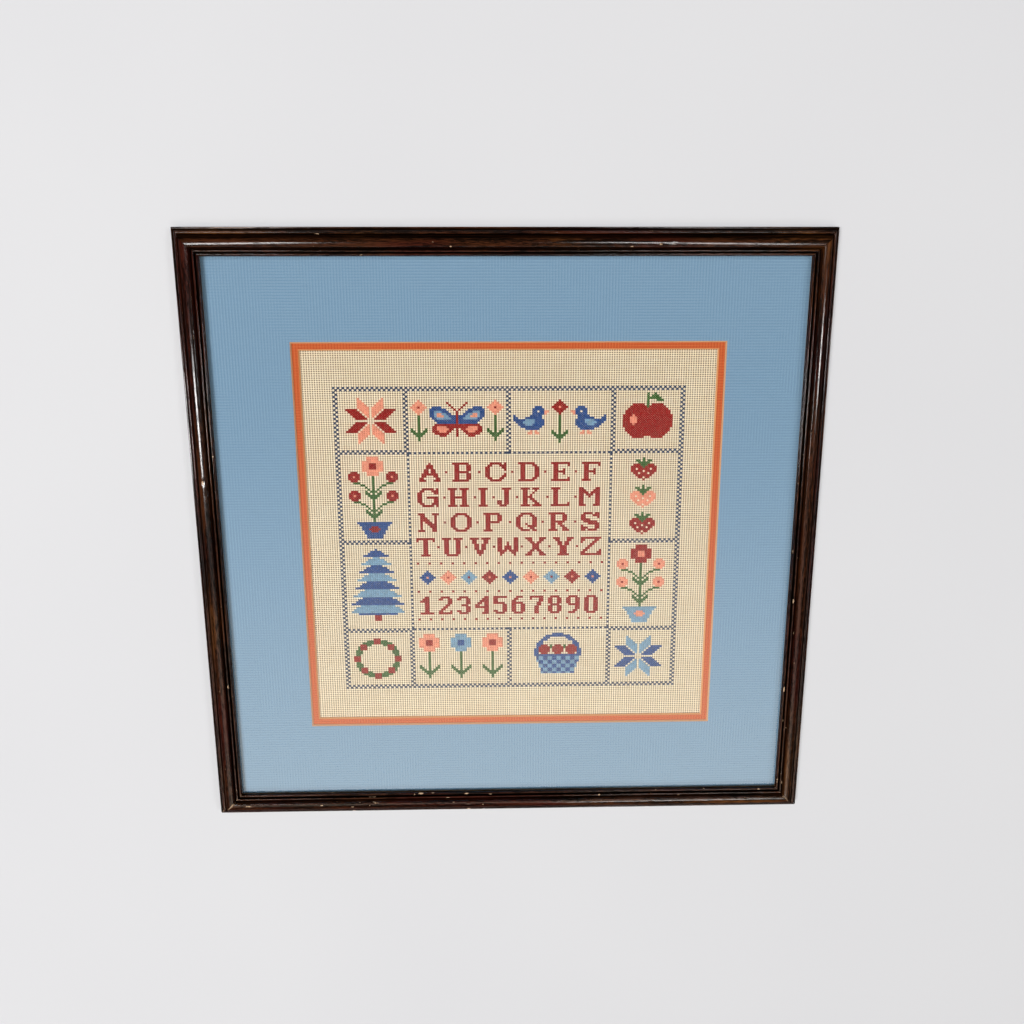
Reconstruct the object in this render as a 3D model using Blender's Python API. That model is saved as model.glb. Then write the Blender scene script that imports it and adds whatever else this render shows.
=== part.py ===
"""A framed cross stitch sampler, lying on its back with its face up.

Four mitred lengths of moulding hold a stack of flat sheets: the glass, two window mats, the stitched
cloth and a backing board. Units are metres. +X runs to the picture's right, +Y to its top and +Z out
of its face. The origin is the middle of the back, level with the rails' back faces.
"""

import math

import bmesh
import bpy

# Outer size of the frame, and the depth from its back to the moulding's crest
FRAME_WIDTH = 0.480
FRAME_HEIGHT = 0.462
FRAME_DEPTH = 0.020

# Moulding: widths across the rail, measured inwards from its outer side
MOULDING_WIDTH = 0.0208
REBATE_INSET = 0.0145
REBATE_DEPTH = 0.0121
FILLET_HEIGHT = 0.0070
FILLET_WIDTH = 0.0027
EDGE_ROUND = 0.0006
OUTER_BEAD_RADIUS = 0.0014
OUTER_BEAD_INSET = 0.0044
OUTER_BEAD_LEVEL = 0.0096
HUMP_INSET = 0.0064
HUMP_LEVEL = 0.0102
HUMP_FULLNESS = 2.8
CREST_INSET = 0.0147
CREST_RADIUS = 0.0008
REED_RADIUS = 0.0009
REED_INSET = 0.0178
REED_LEVEL = 0.0166
LIP_RADIUS = 0.0009
LIP_LEVEL = 0.0148
GROOVE_DEPTH = 0.0004
MITRE_GAP = 0.0003

# Stack of flat sheets behind the lip, from the glass down
LAYER_GAP = 0.0003
EDGE_CLEARANCE = 0.001
GLASS_THICKNESS = 0.002
MAT_THICKNESS = 0.0014
CLOTH_THICKNESS = 0.001
BACKING_THICKNESS = 0.003

# Windows in the mats: the blue mat's borders, then the band of coral that shows inside it
MAT_BORDER_LEFT = 0.0810
MAT_BORDER_RIGHT = 0.0792
MAT_BORDER_TOP = 0.0813
MAT_BORDER_BOTTOM = 0.0790
MAT_REVEAL = 0.0043
BEVEL_RUN = 0.0009


def clear_scene():
    """Removes every object that the file starts with."""
    for item in list(bpy.data.objects):
        bpy.data.objects.remove(item, do_unlink=True)


def make_material(name, colour, roughness, metallic=0.0, transmission=0.0, alpha=1.0):
    """A Principled material with one colour and finish."""
    material = bpy.data.materials.new(name)
    material.use_nodes = True
    shader = material.node_tree.nodes["Principled BSDF"]
    shader.inputs["Base Color"].default_value = (*colour, 1.0)
    shader.inputs["Roughness"].default_value = roughness
    shader.inputs["Metallic"].default_value = metallic
    shader.inputs["Transmission Weight"].default_value = transmission
    shader.inputs["Alpha"].default_value = alpha
    return material


def arc(inset, level, radius, start, end, steps):
    """Points on an arc about (inset, level), from start to end degrees: 180 is the outer side, 90 the top."""
    angles = [math.radians(start + (end - start) * i / steps) for i in range(steps + 1)]
    return [(inset + radius * math.cos(a), level + radius * math.sin(a)) for a in angles]


def full_curve(start, end, fullness, steps):
    """Points from start, straight up at first, round to end, level there. 2 is an ellipse and more is squarer."""
    points = []
    for i in range(steps + 1):
        angle = math.pi / 2 * i / steps
        inset = end[0] - (end[0] - start[0]) * math.cos(angle) ** (2 / fullness)
        level = start[1] + (end[1] - start[1]) * math.sin(angle) ** (2 / fullness)
        points.append((inset, level))
    return points


def moulding_profile():
    """The moulding's section as (inset from the outer side, height above the back), outer side first."""
    crest_level = FRAME_DEPTH - CREST_RADIUS
    lip_inset = MOULDING_WIDTH - LIP_RADIUS
    bead_end = OUTER_BEAD_INSET + OUTER_BEAD_RADIUS
    reed_start = REED_INSET - REED_RADIUS
    reed_end = REED_INSET + REED_RADIUS
    crest_arc = arc(CREST_INSET, crest_level, CREST_RADIUS, 90, 0, 4)

    profile = [(0.0, 0.0)]
    profile += arc(EDGE_ROUND, FILLET_HEIGHT - EDGE_ROUND, EDGE_ROUND, 180, 90, 3)
    profile += [(FILLET_WIDTH, FILLET_HEIGHT)]
    profile += arc(OUTER_BEAD_INSET, OUTER_BEAD_LEVEL, OUTER_BEAD_RADIUS, 180, -10, 8)
    profile += [(bead_end, OUTER_BEAD_LEVEL - GROOVE_DEPTH * 2)]
    profile += [(bead_end + GROOVE_DEPTH, OUTER_BEAD_LEVEL - GROOVE_DEPTH * 2)]
    profile += full_curve((HUMP_INSET, HUMP_LEVEL), crest_arc[0], HUMP_FULLNESS, 10)[:-1]
    profile += crest_arc
    profile += [(reed_start - GROOVE_DEPTH, REED_LEVEL - GROOVE_DEPTH)]
    profile += [(reed_start, REED_LEVEL - GROOVE_DEPTH)]
    profile += arc(REED_INSET, REED_LEVEL, REED_RADIUS, 180, 0, 6)
    profile += [(reed_end, LIP_LEVEL + GROOVE_DEPTH)]
    profile += arc(lip_inset, LIP_LEVEL, LIP_RADIUS, 150, 0, 5)
    profile += [(MOULDING_WIDTH, REBATE_DEPTH)]
    profile += [(REBATE_INSET, REBATE_DEPTH)]
    profile += [(REBATE_INSET, 0.0)]
    return profile


def object_from_loops(name, loops, material, ring=False):
    """A closed body skinned over loops of points; the last loop joins the first one in a ring, or both get caps."""
    mesh = bmesh.new()
    rows = [[mesh.verts.new(point) for point in loop] for loop in loops]
    pairs = list(zip(rows, rows[1:]))
    if ring:
        pairs.append((rows[-1], rows[0]))
    else:
        mesh.faces.new(rows[0])
        mesh.faces.new(rows[-1])
    count = len(rows[0])
    for near, far in pairs:
        for i in range(count):
            following = (i + 1) % count
            mesh.faces.new((near[i], near[following], far[following], far[i]))
    bmesh.ops.recalc_face_normals(mesh, faces=mesh.faces)
    data = bpy.data.meshes.new(name)
    mesh.to_mesh(data)
    mesh.free()
    data.materials.append(material)
    item = bpy.data.objects.new(name, data)
    bpy.context.scene.collection.objects.link(item)
    return item


def make_rail(name, length, outer_side, turn, material):
    """One length of moulding, mitred at both ends. Its outer side faces +Y before it is turned into place."""
    setback = MITRE_GAP / math.sqrt(2)
    profile = moulding_profile()
    ends = []
    for side in (-1, 1):
        ends.append([(side * (length / 2 - inset - setback), -inset, level) for inset, level in profile])
    rail = object_from_loops(name, ends, material)
    rail.location = outer_side
    rail.rotation_euler = (0, 0, math.radians(turn))
    rail.data.shade_smooth()
    rail.data.set_sharp_from_angle(angle=math.radians(40))
    return rail


def rectangle(width, height, level, middle=(0.0, 0.0)):
    """The four corners of a rectangle about a middle point, at one level."""
    left = middle[0] - width / 2
    right = middle[0] + width / 2
    near = middle[1] - height / 2
    far = middle[1] + height / 2
    return [(left, near, level), (right, near, level), (right, far, level), (left, far, level)]


def make_sheet(name, width, height, top, thickness, material):
    """A flat sheet whose front face is at the level called top."""
    loops = [rectangle(width, height, top - thickness), rectangle(width, height, top)]
    return object_from_loops(name, loops, material)


def make_mat(name, width, height, top, extra, material):
    """A mat board with a window, cut on a slant so that the window is wider at the front by the bevel.

    Its border is wider than the blue mat's by extra on every side.
    """
    low = top - MAT_THICKNESS
    middle = ((MAT_BORDER_LEFT - MAT_BORDER_RIGHT) / 2, (MAT_BORDER_BOTTOM - MAT_BORDER_TOP) / 2)
    window_width = FRAME_WIDTH - MAT_BORDER_LEFT - MAT_BORDER_RIGHT - 2 * extra
    window_height = FRAME_HEIGHT - MAT_BORDER_TOP - MAT_BORDER_BOTTOM - 2 * extra
    loops = [
        rectangle(width, height, low),
        rectangle(width, height, top),
        rectangle(window_width + 2 * BEVEL_RUN, window_height + 2 * BEVEL_RUN, top, middle),
        rectangle(window_width, window_height, low, middle),
    ]
    return object_from_loops(name, loops, material, ring=True)


def make_rails():
    """The four rails of the frame."""
    wood = make_material("dark_walnut_stain", (0.085, 0.035, 0.020), 0.32)
    half_width = FRAME_WIDTH / 2
    half_height = FRAME_HEIGHT / 2
    make_rail("rail_top", FRAME_WIDTH, (0, half_height, 0), 0, wood)
    make_rail("rail_left", FRAME_HEIGHT, (-half_width, 0, 0), 90, wood)
    make_rail("rail_bottom", FRAME_WIDTH, (0, -half_height, 0), 180, wood)
    make_rail("rail_right", FRAME_HEIGHT, (half_width, 0, 0), -90, wood)


def make_stack():
    """The glass, both mats, the cloth and the backing board, a hair apart, from the front down."""
    width = FRAME_WIDTH - 2 * (REBATE_INSET + EDGE_CLEARANCE)
    height = FRAME_HEIGHT - 2 * (REBATE_INSET + EDGE_CLEARANCE)

    clear_glass = make_material("clear_glass", (0.9, 0.95, 0.93), 0.03, transmission=1.0, alpha=0.3)
    top = REBATE_DEPTH - LAYER_GAP
    make_sheet("glass", width, height, top, GLASS_THICKNESS, clear_glass)

    blue_board = make_material("blue_mat_board", (0.29, 0.42, 0.52), 0.9)
    top -= GLASS_THICKNESS + LAYER_GAP
    make_mat("outer_mat", width, height, top, 0.0, blue_board)

    coral_board = make_material("coral_mat_board", (0.62, 0.19, 0.08), 0.9)
    top -= MAT_THICKNESS + LAYER_GAP
    make_mat("inner_mat", width, height, top, MAT_REVEAL + BEVEL_RUN, coral_board)

    cream_cotton = make_material("cream_cotton", (0.76, 0.66, 0.48), 0.95)
    top -= MAT_THICKNESS + LAYER_GAP
    make_sheet("cloth", width, height, top, CLOTH_THICKNESS, cream_cotton)

    grey_board = make_material("grey_backing_board", (0.36, 0.30, 0.22), 0.9)
    top -= CLOTH_THICKNESS + LAYER_GAP
    make_sheet("backing_board", width, height, top, BACKING_THICKNESS, grey_board)


def main():
    clear_scene()
    make_rails()
    make_stack()


main()
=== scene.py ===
import math

import bmesh
import bpy
import mathutils
import numpy as np
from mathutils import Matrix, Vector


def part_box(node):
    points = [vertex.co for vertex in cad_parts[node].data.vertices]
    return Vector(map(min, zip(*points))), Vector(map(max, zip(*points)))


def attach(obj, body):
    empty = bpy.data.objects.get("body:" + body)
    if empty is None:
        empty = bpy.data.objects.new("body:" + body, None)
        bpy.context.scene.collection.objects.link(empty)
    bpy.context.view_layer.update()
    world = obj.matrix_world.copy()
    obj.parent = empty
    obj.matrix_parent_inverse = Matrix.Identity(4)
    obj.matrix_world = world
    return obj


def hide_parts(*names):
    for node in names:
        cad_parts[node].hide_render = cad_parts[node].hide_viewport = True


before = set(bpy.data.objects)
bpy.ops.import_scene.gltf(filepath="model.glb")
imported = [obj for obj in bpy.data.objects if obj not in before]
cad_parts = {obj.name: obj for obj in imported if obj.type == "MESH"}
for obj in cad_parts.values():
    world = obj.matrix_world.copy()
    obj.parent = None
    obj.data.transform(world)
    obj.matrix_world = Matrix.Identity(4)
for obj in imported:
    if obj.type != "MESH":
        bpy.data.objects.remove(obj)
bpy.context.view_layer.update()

# The look of a framed cross stitch sampler. Units are metres. +X runs to the picture's right, +Y to its
# top and +Z out of its face, as in the CAD.

MM = 0.001

# Frame and moulding, the same sizes as the CAD
FRAME_WIDTH = 0.480
FRAME_HEIGHT = 0.462
FRAME_DEPTH = 0.020
MOULDING_WIDTH = 0.0208
REBATE_INSET = 0.0145
REBATE_DEPTH = 0.0121
FILLET_HEIGHT = 0.0070
FILLET_WIDTH = 0.0027
EDGE_ROUND = 0.0006
OUTER_BEAD_RADIUS = 0.0014
OUTER_BEAD_INSET = 0.0044
OUTER_BEAD_LEVEL = 0.0096
HUMP_INSET = 0.0064
HUMP_LEVEL = 0.0102
HUMP_FULLNESS = 2.8
CREST_INSET = 0.0147
CREST_RADIUS = 0.0008
REED_RADIUS = 0.0009
REED_INSET = 0.0178
REED_LEVEL = 0.0166
LIP_RADIUS = 0.0009
LIP_LEVEL = 0.0148
GROOVE_DEPTH = 0.0004
MITRE_GAP = 0.0003
BACK_CHAMFER = 0.4 * MM
LIP_DROP = 0.5 * MM

# Rails' mesh: stations along a rail and more of them by its mitres, the insets of the points that cross the
# fillet, and the smoothing angle in degrees
RAIL_STATIONS = 340
STATIONS_BY_MITRE = np.array([0.4, 0.8, 1.3]) * MM
FILLET_STEPS = (0.0012, 0.0019)
SMOOTH_ANGLE = 42

# Rails' wear: a patch's length in stations, the chips' length, width, depth and wear, the share of them on
# edges and how far those stray, how far rubbing reaches from a corner, and the pale line along a mitre
WEAR_PATCH = 14
CHIP_LENGTH = (0.0010, 0.0032)
CHIP_WIDTH = (0.0005, 0.0012)
CHIP_DEPTH = (0.00005, 0.00022)
CHIP_WEAR = (0.35, 0.95)
EDGE_CHIP_SHARE = 0.25
EDGE_CHIP_STRAY = 0.4 * MM
CORNER_RUB = 12 * MM
MITRE_LINE = 0.5 * MM

# Cloth: one stitch's pitch across and down, where the stitching's middle lies, how many more blocks of the
# weave there are on each side of it, the threads across a block, and how far a hole dips and a block rises
PITCH_X = 0.00180
PITCH_Y = 0.001635
DESIGN_X = 0.0008
DESIGN_Y = -0.0022
CELLS_LEFT = 15
CELLS_RIGHT = 14
CELLS_UP = 19
CELLS_DOWN = 16
BLOCK_THREADS = 4
HOLE_DIP = 0.30 * MM
BLOCK_RISE = 0.10 * MM

# Pitch of the grid embossed on the mats
LINEN_PITCH_X = 2.19 * MM
LINEN_PITCH_Y = 2.07 * MM

# A cross: the strand's width and height, how far the upper leg rises over the lower one and how far a leg's
# ends stray, then a leg's stations, its shape at each, and the angles of its half round section
STRAND_WIDTH = 0.90 * MM
STRAND_HEIGHT = 0.46 * MM
UPPER_LEG_RISE = 0.30 * MM
END_STRAY = 0.035 * MM
LEG_ALONG = np.array([0.0, 0.17, 0.5, 0.83, 1.0])
LEG_WIDTH = np.array([0.68, 0.92, 1.0, 0.92, 0.68])
LEG_HEIGHT = np.array([0.55, 0.95, 1.0, 0.95, 0.55])
LEG_LIFT = np.array([-0.32, -0.02, 0.06, -0.02, -0.32]) * MM
SECTION_ANGLES = np.radians([180, 135, 90, 45, 0])

# Chart, in stitches: the whole, a corner block, a line of the lattice and where the middle line starts, then
# where the inner area, the far line and the far blocks start, and the panel's rows of letters and dots
CHART_SIZE = 147
BLOCK = 29
LINE = 2
MIDDLE = 72
INNER = BLOCK + LINE
FAR_LINE = CHART_SIZE - LINE
FAR_BLOCK = CHART_SIZE - INNER
ALPHABET = ("ABCDEF", "GHIJKLM", "NOPQRS", "TUVWXYZ")
ALPHABET_TOP = INNER + 4
LETTER_PITCH = 12
DOT_ROWS = (83, 97, 111)
DIAMOND_TOP = 87
NUMERAL_TOP = 100

# Camera, worked out from the frame's four corners in the photograph
CAMERA_PLACE = (-0.00967, 0.14185, 0.59066)
CAMERA_RIGHT = (0.99977, -0.00320, 0.02108)
CAMERA_UP = (0.00736, 0.97966, -0.20054)
CAMERA_LENS = 27.18
SENSOR_WIDTH = 36

# Half the floor's side
FLOOR_REACH = 6.0

# Soft lights: name, place, size, power in watts, and whether glass and lacquer mirror it
LIGHTS = (
    ("key", (-1.6, -0.4, 4.2), (1.0, 1.0), 102, False),
    ("left_light", (-2.4, -0.25, 3.8), (0.65, 0.65), 60, True),
    ("right_light", (2.9, 0.1, 3.6), (0.5, 0.5), 32, True),
    ("front_light", (1.15, -3.1, 4.0), (1.5, 0.3), 22, True),
    ("top_left_light", (-1.5, 1.3, 4.0), (1.0, 0.3), 30, True),
    ("top_right_light", (1.15, 1.3, 4.0), (1.5, 0.3), 28, True),
)

# Each thread's letter in the charts, its name and its dye
THREADS = {
    "N": ("navy", (40, 64, 98)),
    "R": ("red", (157, 2, 2)),
    "B": ("blue", (36, 79, 142)),
    "L": ("light_blue", (128, 164, 190)),
    "P": ("salmon", (255, 157, 129)),
    "G": ("green", (60, 104, 46)),
}

# Each letter and numeral is nine stitches high. Rows run from the top, and # is a stitch.
LETTERS = {
    "A": "....#.... ...###... ...###... ..##.##.. ..##.##.. .#######. .##...##. ##.....## ###...###",
    "B": "#######.. .##...##. .##...##. .##...##. .######.. .##...##. .##...##. .##...##. #######..",
    "C": "..#####.# .##...### ##.....## ##......# ##....... ##......# ##.....## .##...##. ..#####..",
    "D": "#######.. .##...##. .##....## .##....## .##....## .##....## .##....## .##...##. #######..",
    "E": "######## .##....# .##..... .##..#.. .#####.. .##..#.. .##..... .##....# ########",
    "F": "######## .##....# .##..... .##..#.. .#####.. .##..#.. .##..... .##..... ####....",
    "G": "..#####.# .##...### ##.....## ##....... ##..##### ##.....## ##.....## .##...### ..#####.#",
    "H": "####.#### .##...##. .##...##. .##...##. .#######. .##...##. .##...##. .##...##. ####.####",
    "I": "#### .##. .##. .##. .##. .##. .##. .##. ####",
    "J": "..#### ...##. ...##. ...##. ...##. ...##. ##.##. ##.##. .###..",
    "K": "####.###. .##...#.. .##..#... .##.#.... .####.... .##.##... .##..##.. .##...##. ####.####",
    "L": "####.... .##..... .##..... .##..... .##..... .##..... .##..... .##....# ########",
    "M": "##.....## ###...### ####.#### ##.###.## ##..#..## ##.....## ##.....## ##.....## ###...###",
    "N": "###...### .##....#. .###...#. .####..#. .#.###.#. .#..####. .#...###. .#....##. ###...##.",
    "O": "..#####.. .##...##. ##.....## ##.....## ##.....## ##.....## ##.....## .##...##. ..#####..",
    "P": "#######.. .##...##. .##...##. .##...##. .######.. .##...... .##...... .##...... ####.....",
    "Q": "..#####.. .##...##. ##.....## ##.....## ##.....## ##..#..## ##...#### .##...##. ..####.##",
    "R": "#######.. .##...##. .##...##. .##...##. .######.. .##.##... .##..##.. .##...##. ####..###",
    "S": ".####.## ##...### ##.....# ####.... .######. ...##### #.....## ###...## ##.####.",
    "T": "######## #..##..# ...##... ...##... ...##... ...##... ...##... ...##... ..####..",
    "U": "####.#### .##...##. .##...##. .##...##. .##...##. .##...##. .##...##. .##...##. ..#####..",
    "V": "####.#### .##...##. .##...##. ..##.##.. ..##.##.. ..##.##.. ...###... ...###... ....#....",
    "W": "##.....## ##.....## ##..#..## ##..#..## ##.###.## ##.###.## ####.#### .##...##. .#.....#.",
    "X": "###...### .##...##. ..##.##.. ...###... ...###... ...###... ..##.##.. .##...##. ###...###",
    "Y": "###...### .##...##. ..##.##.. ..##.##.. ...###... ...###... ...###... ...###... ..#####..",
    "Z": "######### ##....##. #....##.. ....##... ...##.... ..##..... .##.....# ##.....## #########",
    "0": ".####. ##..## ##..## ##..## ##..## ##..## ##..## ##..## .####.",
    "1": "..##.. .###.. ####.. ..##.. ..##.. ..##.. ..##.. ..##.. ######",
    "2": ".####. ##..## ....## ....## ...##. ..##.. .##... ##...# ######",
    "3": ".####. ##..## ....## ....## ..###. ....## ....## ##..## .####.",
    "4": "....## ...### ..#### .##.## ##..## ###### ....## ....## ...###",
    "5": "###### ##.... ##.... #####. ....## ....## ....## ##..## .####.",
    "6": "..###. .##... ##.... #####. ##..## ##..## ##..## ##..## .####.",
    "7": "###### #...## ....## ...##. ...##. ..##.. ..##.. ..##.. ..##..",
    "8": ".####. ##..## ##..## ##..## .####. ##..## ##..## ##..## .####.",
    "9": ".####. ##..## ##..## ##..## .##### ....## ....## ...##. .###..",
}

BIRD = """
.........BBB....
........BBBBB...
........BB.BBPP.
........BBBBBP..
B......BBBBB....
BB...BBBBBBB....
BBBBBLLLLBBBB...
.BBBLLLLLBBBB...
..BBBLLLBBBBB...
...BBBBBBBBB....
.....BBBBBB.....
.......P.P......
......PP.PP.....
""".split()
LEFT_WING = """
.......R....
........R...
.BBBB....R..
BBBBBBB...R.
BBLLLBBB...R
BBLPPLLBB..R
BBLPPPLLBBBR
.BBLLLLLLBBR
..BBBBBBBBBR
...BBBBBBBBR
..RRRRRRRRRR
.RRPPPPRRRRR
.RRPPPPPRR.R
.RRRPPPRR..R
..RRRRRR...R
....RRR....R
""".split()
BERRY = """
.....G.....
..GG.G.GG..
...GGGGG...
.RRRGGGRRR.
RRRRRGRRRRR
RR.RRRRR.RR
RRRRR.RRRRR
.RR.RRR.RR.
..RRRRRRR..
...RR.RR...
.....R.....
""".split()


def srgb(red, green, blue):
    """A colour given from 0 to 255 in each channel, in the linear values that a shader takes."""
    linear = []
    for value in (red, green, blue):
        share = value / 255
        linear.append(share / 12.92 if share <= 0.04045 else ((share + 0.055) / 1.055) ** 2.4)
    return (*linear, 1.0)


# Charting


def put(chart, left, top, rows, swap=None):
    """Lays rows of thread letters on the chart. The dict swap changes some threads for others."""
    for down, row in enumerate(rows):
        for across, letter in enumerate(row):
            if letter != ".":
                chart[top + down, left + across] = (swap or {}).get(letter, letter)


def mirrored(rows):
    """The rows turned left to right."""
    return [row[::-1] for row in rows]


def fill(chart, left, top, width, height, thread, inside):
    """Stitches each cell of a patch where inside(x, y) holds, with x and y counted from its middle."""
    for down in range(height):
        for across in range(width):
            if inside(across - (width - 1) / 2, down - (height - 1) / 2):
                chart[top + down, left + across] = thread


def diamond(chart, left, top, size, thread, centre):
    """A small diamond with another thread in its middle stitch."""
    fill(chart, left, top, size, size, thread, lambda x, y: abs(x) + abs(y) <= size / 2)
    chart[top + size // 2, left + size // 2] = centre


def star(chart, left, top, size, first, second):
    """An eight-petalled star, its petals in two threads by turns."""
    reach = (size - 1) // 2
    half = reach // 2
    for y in range(-reach, reach + 1):
        for x in range(-reach, reach + 1):
            a, b = abs(x), abs(y)
            if 1 <= b <= half and 1 <= a - b <= half:
                chart[top + reach + y, left + reach + x] = first
            if 1 <= a <= half and 1 <= b - a <= half:
                chart[top + reach + y, left + reach + x] = second


def letter_row(chart, text, top, start, room, thread):
    """A row of letters spread over the room, with a dot between them where the gap takes one."""
    glyphs = [LETTERS[letter].split() for letter in text]
    widths = [len(glyph[0]) for glyph in glyphs]
    gaps = len(text) - 1
    gap = min(5, (room - sum(widths)) // gaps)
    left = start + (room - sum(widths) - gap * gaps) // 2
    for order, glyph in enumerate(glyphs):
        put(chart, left, top, glyph, {"#": thread})
        left += widths[order]
        if gap > 2 and order < gaps:
            chart[top + 4, left + gap // 2] = thread
        left += gap


def lattice(chart, left, top, across, down):
    """A stretch of the lattice: every other stitch of a line two stitches wide."""
    for y in range(top, top + down):
        for x in range(left, left + across):
            if (x + y) % 2 == 0:
                chart[y, x] = "N"


def fir(chart, left, top, width, height, threads, trunk):
    """A fir of stepped tiers whose rows change thread, on a short trunk."""
    middle = left + width // 2
    for y in range(height):
        reach = min(width // 2, round(width / 2 * ((y % 4) * 0.11 + y / height * 0.75)))
        chart[top + y, middle - reach:middle + reach + 1] = threads[y // 4 % len(threads)]
    chart[top + height:top + height + 3, middle - 1:middle + 2] = trunk


def flower(chart, left, top, petals, heart):
    """A round flower nine stitches across."""

    def petal(x, y):
        far = math.hypot(x, y)
        return far < 3.2 or far < 4.6 and abs(abs(x) - abs(y)) > 0.5

    fill(chart, left, top, 9, 9, petals, petal)
    fill(chart, left + 3, top + 3, 3, 3, heart, lambda x, y: True)


def leaf_pair(chart, middle, level, reach):
    """Two leaves that rise from a stem, one to each side."""
    for side in (-1, 1):
        for step in range(1, reach + 1):
            chart[level - step:level - step + 2, middle + side * step] = "G"


def stemmed_flower(chart, left, top, petals, heart, stem):
    """A flower on a stem with two leaves."""
    flower(chart, left, top, petals, heart)
    chart[top + 9:top + 9 + stem, left + 4] = "G"
    leaf_pair(chart, left + 4, top + 9 + stem - 3, 4)


def bud(chart, left, top, petals, heart, stem):
    """A diamond bud on a thin stem, seven stitches across."""
    diamond(chart, left, top, 7, petals, heart)
    chart[top + 7:top + 7 + stem, left + 3] = "G"
    leaf_pair(chart, left + 3, top + 4 + stem, 3)


def basket(chart, left, top, weave, rim, fruit):
    """A chequered basket with an arched handle and three fruits."""
    fill(chart, left, top, 21, 21, rim, lambda x, y: 8.6 < math.hypot(x, y) < 10.4 and y < 2)
    for row in range(9):
        inset = 1 + row // 3
        for x in range(inset, 21 - inset):
            chart[top + 12 + row, left + x] = weave if (x // 2 + row // 2) % 2 else rim
    chart[top + 11, left:left + 21] = rim
    for x in (2, 8, 14):
        fill(chart, left + x, top + 6, 5, 5, fruit, lambda u, v: abs(u) + abs(v) < 3.5)
    for x in (7, 13):
        chart[top + 6:top + 8, left + x] = "G"


def potted_plant(chart, left, top, pot, bloom, berry):
    """A tall plant with one flower, four berries on curved stems and a pot."""
    middle = left + 13
    chart[top + 6:top + 31, middle] = "G"
    flower(chart, middle - 4, top, bloom, berry)
    reach = 8
    for level in (top + 26, top + 17):
        for side in (-1, 1):
            for step in range(1, reach + 1):
                rise = round(5 * math.sin(step / reach * math.pi / 2))
                chart[level - rise, middle + side * step] = "G"
            end = middle + side * reach
            fill(chart, end - 2, level - 10, 5, 5, berry, lambda u, v: abs(u) + abs(v) < 3.5)
            chart[level - 8, end] = bloom
        leaf_pair(chart, middle, level + 2, 3)
    for row in range(8):
        inset = row // 2
        chart[top + 31 + row, middle - 6 + inset:middle + 7 - inset] = pot
    chart[top + 31, middle - 7:middle + 8] = pot
    fill(chart, middle - 2, top + 33, 5, 3, berry, lambda u, v: abs(u) + abs(v) < 2.5)


def wreath(chart, left, top, size, leaf, berry):
    """A ring of leaves with eight berries."""
    ring = size * 0.38
    centre = (size - 1) / 2
    fill(chart, left, top, size, size, leaf, lambda x, y: abs(math.hypot(x, y) - ring) < 1.3)
    for k in range(8):
        x = round(left + centre + ring * math.cos(k * math.pi / 4)) - 1
        y = round(top + centre + ring * math.sin(k * math.pi / 4)) - 1
        fill(chart, x, y, 3, 3, berry, lambda u, v: True)


def apple(chart, left, top, flesh, shine):
    """A round apple with a stalk and a leaf."""
    fill(chart, left, top + 4, 21, 18, flesh, lambda x, y: math.hypot(abs(x) - 3.6, y * 0.86) < 6.9)
    fill(chart, left + 3, top + 10, 3, 5, shine, lambda x, y: abs(x) + abs(y) < 2.6)
    chart[top:top + 7, left + 10] = "G"
    for step in range(6):
        height = (1, 2, 3, 3, 2, 1)[step]
        chart[top + 3 - height + step // 3:top + 3 + step // 3, left + 11 + step] = "G"


def chart_lattice(chart):
    """The lattice of lines between the blocks, and the dotted line round the middle panel."""
    for start in (0, FAR_LINE):
        lattice(chart, 0, start, CHART_SIZE, LINE)
        lattice(chart, start, 0, LINE, CHART_SIZE)
    for side in (0, FAR_BLOCK):
        for start in (BLOCK, MIDDLE, FAR_BLOCK):
            lattice(chart, side, start, INNER, LINE)
            lattice(chart, start, side, LINE, INNER)
    for step in range(INNER, FAR_BLOCK, 2):
        for edge in (INNER - 1, FAR_BLOCK):
            chart[edge, step] = "N"
            chart[step, edge] = "N"


def chart_panel(chart):
    """The middle panel: the alphabet, a row of diamonds and the numerals."""
    start = INNER + 1
    room = FAR_BLOCK - start - 1
    for order, text in enumerate(ALPHABET):
        letter_row(chart, text, ALPHABET_TOP + order * LETTER_PITCH, start, room, "R")
    for row in DOT_ROWS:
        chart[row, start + 1:FAR_BLOCK - 1:5] = "R"
    for order, thread in enumerate("BPLRBPLRB"):
        diamond(chart, start + 2 + order * 9, DIAMOND_TOP, 7, thread, "P" if thread in "RB" else "R")
    letter_row(chart, "1234567890", NUMERAL_TOP, start, room, "R")


def chart_blocks(chart):
    """The motifs in the blocks round the panel."""
    star(chart, 5, 5, 21, "R", "P")
    star(chart, FAR_BLOCK + 4, FAR_BLOCK + 5, 21, "B", "L")
    apple(chart, FAR_BLOCK + 5, 3, "R", "P")
    wreath(chart, 3, FAR_BLOCK + 4, 23, "G", "R")

    wings = [row + row[-2::-1] for row in LEFT_WING]
    put(chart, 40, 7, wings)
    for left in (32, 64):
        bud(chart, left, 6, "P", "R", 12)
    put(chart, 75, 9, BIRD)
    put(chart, 98, 9, mirrored(BIRD))
    bud(chart, 91, 6, "R", "P", 13)

    for left, petals, heart in ((33, "P", "R"), (47, "L", "B"), (61, "P", "R")):
        stemmed_flower(chart, left, FAR_BLOCK + 3, petals, heart, 14)
    basket(chart, 84, FAR_BLOCK + 3, "L", "B", "R")

    potted_plant(chart, 2, INNER + 1, "B", "P", "R")
    potted_plant(chart, FAR_BLOCK + 1, MIDDLE + 3, "L", "R", "P")
    for order, flesh in enumerate("RPR"):
        put(chart, FAR_BLOCK + 9, INNER + 2 + order * 13, BERRY, {"R": flesh})
    fir(chart, 4, MIDDLE + 4, 23, 33, "BL", "R")


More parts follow.
